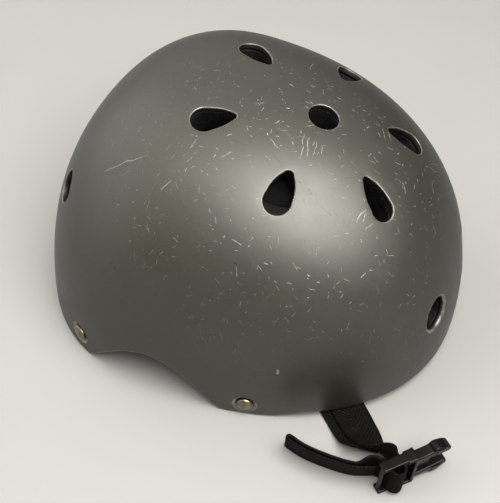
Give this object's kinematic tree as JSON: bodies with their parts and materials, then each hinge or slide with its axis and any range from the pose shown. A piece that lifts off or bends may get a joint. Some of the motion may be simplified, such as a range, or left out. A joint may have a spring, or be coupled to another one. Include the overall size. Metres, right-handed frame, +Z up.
{
  "type": "hard-shell helmet",
  "caption": "Vented hard-shell helmet with foam liner, fit pads, riveted webbing chin strap and side-release buckle, resting on its rim.",
  "frame": {"origin": "in the plane the rim rests on, at the bottom centre of the bounding box of the helmet with its straps and buckles; the helmet's middle plane is 5.1 mm to the wearer's right of it", "axes": "+X towards the wearer's front, +Y towards the wearer's left, +Z up towards the crown"},
  "size_m": [0.2746, 0.2354, 0.1434],
  "materials": {
    "shell_paint": "satin warm grey with a slight metallic sheen, worn",
    "liner_foam": "black bead foam",
    "pad_cloth": "dark grey brushed knit over soft foam",
    "hook_tape": "black hook tape",
    "rivet_metal": "worn plated rivet head",
    "washer_metal": "zinc-plated steel",
    "webbing": "black twill-woven nylon webbing",
    "buckle_plastic": "black moulded acetal, slightly shiny"
  },
  "bodies": {
    "helmet": {"outer_shell": "shell_paint", "foam_liner": "liner_foam", "front_pad": "pad_cloth", "rear_pad": "pad_cloth", "left_side_pad": "pad_cloth", "right_side_pad": "pad_cloth", "crown_pad": "pad_cloth", "front_pad_hook_patch": "hook_tape", "rear_pad_hook_patch": "hook_tape", "left_side_pad_hook_patch": "hook_tape", "right_side_pad_hook_patch": "hook_tape", "crown_pad_hook_patch": "hook_tape", "left_front_rivet": "rivet_metal", "left_rear_rivet": "rivet_metal", "right_front_rivet": "rivet_metal", "right_rear_rivet": "rivet_metal", "left_front_rivet_washer": "washer_metal", "left_rear_rivet_washer": "washer_metal", "right_front_rivet_washer": "washer_metal", "right_rear_rivet_washer": "washer_metal", "left_front_strap": "webbing", "left_rear_strap": "webbing", "right_front_strap_tab": "webbing", "right_rear_strap_tab": "webbing"},
    "left_chin_strap": {"left_chin_strap": "webbing", "left_rear_strap_end": "webbing"},
    "male_buckle": {"male_buckle_frame": "buckle_plastic"},
    "male_buckle_upper_prong": {"male_buckle_upper_prong": "buckle_plastic"},
    "male_buckle_lower_prong": {"male_buckle_lower_prong": "buckle_plastic"},
    "right_harness": {"right_front_strap": "webbing", "right_rear_strap": "webbing"},
    "female_buckle": {"female_buckle_socket": "buckle_plastic"}
  },
  "joints": [
    {"name": "left_chin_strap_swing", "type": "hinge", "parent": "helmet", "child": "left_chin_strap", "pos_m": [-0.0791, 0.0774, 0.003], "axis": [0.6947, 0.7193, 0], "range_deg": [-90, 68]},
    {"name": "male_buckle_pivot", "type": "hinge", "parent": "left_chin_strap", "child": "male_buckle", "pos_m": [-0.11254, 0.10845, 0.0129], "axis": [0, 0, 1], "range_deg": [-12, 12]},
    {"name": "upper_prong_squeeze", "type": "hinge", "parent": "male_buckle", "child": "male_buckle_upper_prong", "pos_m": [-0.12081, 0.09894, 0.0214], "axis": [0.7547, -0.6561, 0], "range_deg": [0, 8], "stiffness_Nm_per_rad": 0.4},
    {"name": "lower_prong_squeeze", "type": "hinge", "parent": "male_buckle", "child": "male_buckle_lower_prong", "pos_m": [-0.12081, 0.09894, 0.0044], "axis": [0.7547, -0.6561, 0], "range_deg": [-8, 0]},
    {"name": "right_harness_swing", "type": "hinge", "parent": "helmet", "child": "right_harness", "pos_m": [0.0294, -0.09635, 0.003], "axis": [0.9986, 0.0533, 0], "range_deg": [-90, 30]},
    {"name": "female_buckle_pivot", "type": "hinge", "parent": "right_harness", "child": "female_buckle", "pos_m": [0.0259, 0.0209, 0.0049], "axis": [1, 0, 0], "range_deg": [-80, 80]}
  ],
  "couplings": [
    {"joint": "lower_prong_squeeze", "follows": "upper_prong_squeeze", "ratio": -1}
  ]
}
